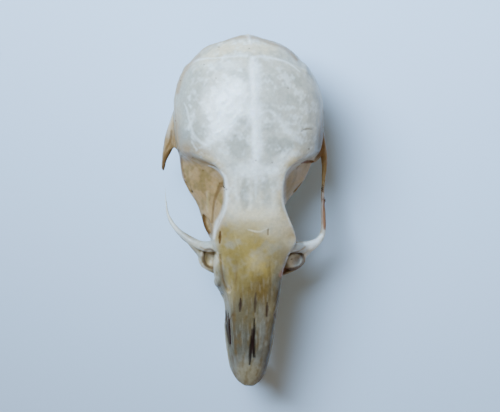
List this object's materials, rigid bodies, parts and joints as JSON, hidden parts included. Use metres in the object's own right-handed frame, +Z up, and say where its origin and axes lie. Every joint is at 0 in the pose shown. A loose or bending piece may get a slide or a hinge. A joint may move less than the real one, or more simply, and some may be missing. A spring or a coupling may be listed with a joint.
{
  "type": "mouse skull",
  "caption": "Small rodent cranium without its lower jaw: domed braincase, long snout, one whole and one broken cheek arch, ear capsules, incisors and molars.",
  "frame": {"origin": "centre of the skull's footprint, on the surface that it rests on", "axes": "+Y from the nose to the back of the head, +Z up to the crown, +X to the animal's own left"},
  "size_m": [0.0115, 0.024, 0.0092],
  "materials": {
    "bone": "dry cleaned bone, translucent, satin",
    "incisor_enamel": "glossy amber enamel",
    "molar_enamel": "glossy cream enamel"
  },
  "bodies": {
    "root": {"cranium": "bone", "incisor_left": "incisor_enamel", "incisor_right": "incisor_enamel", "molar_left_first": "molar_enamel", "molar_left_second": "molar_enamel", "molar_left_third": "molar_enamel", "molar_right_first": "molar_enamel", "molar_right_second": "molar_enamel", "molar_right_third": "molar_enamel"}
  },
  "joints": []
}
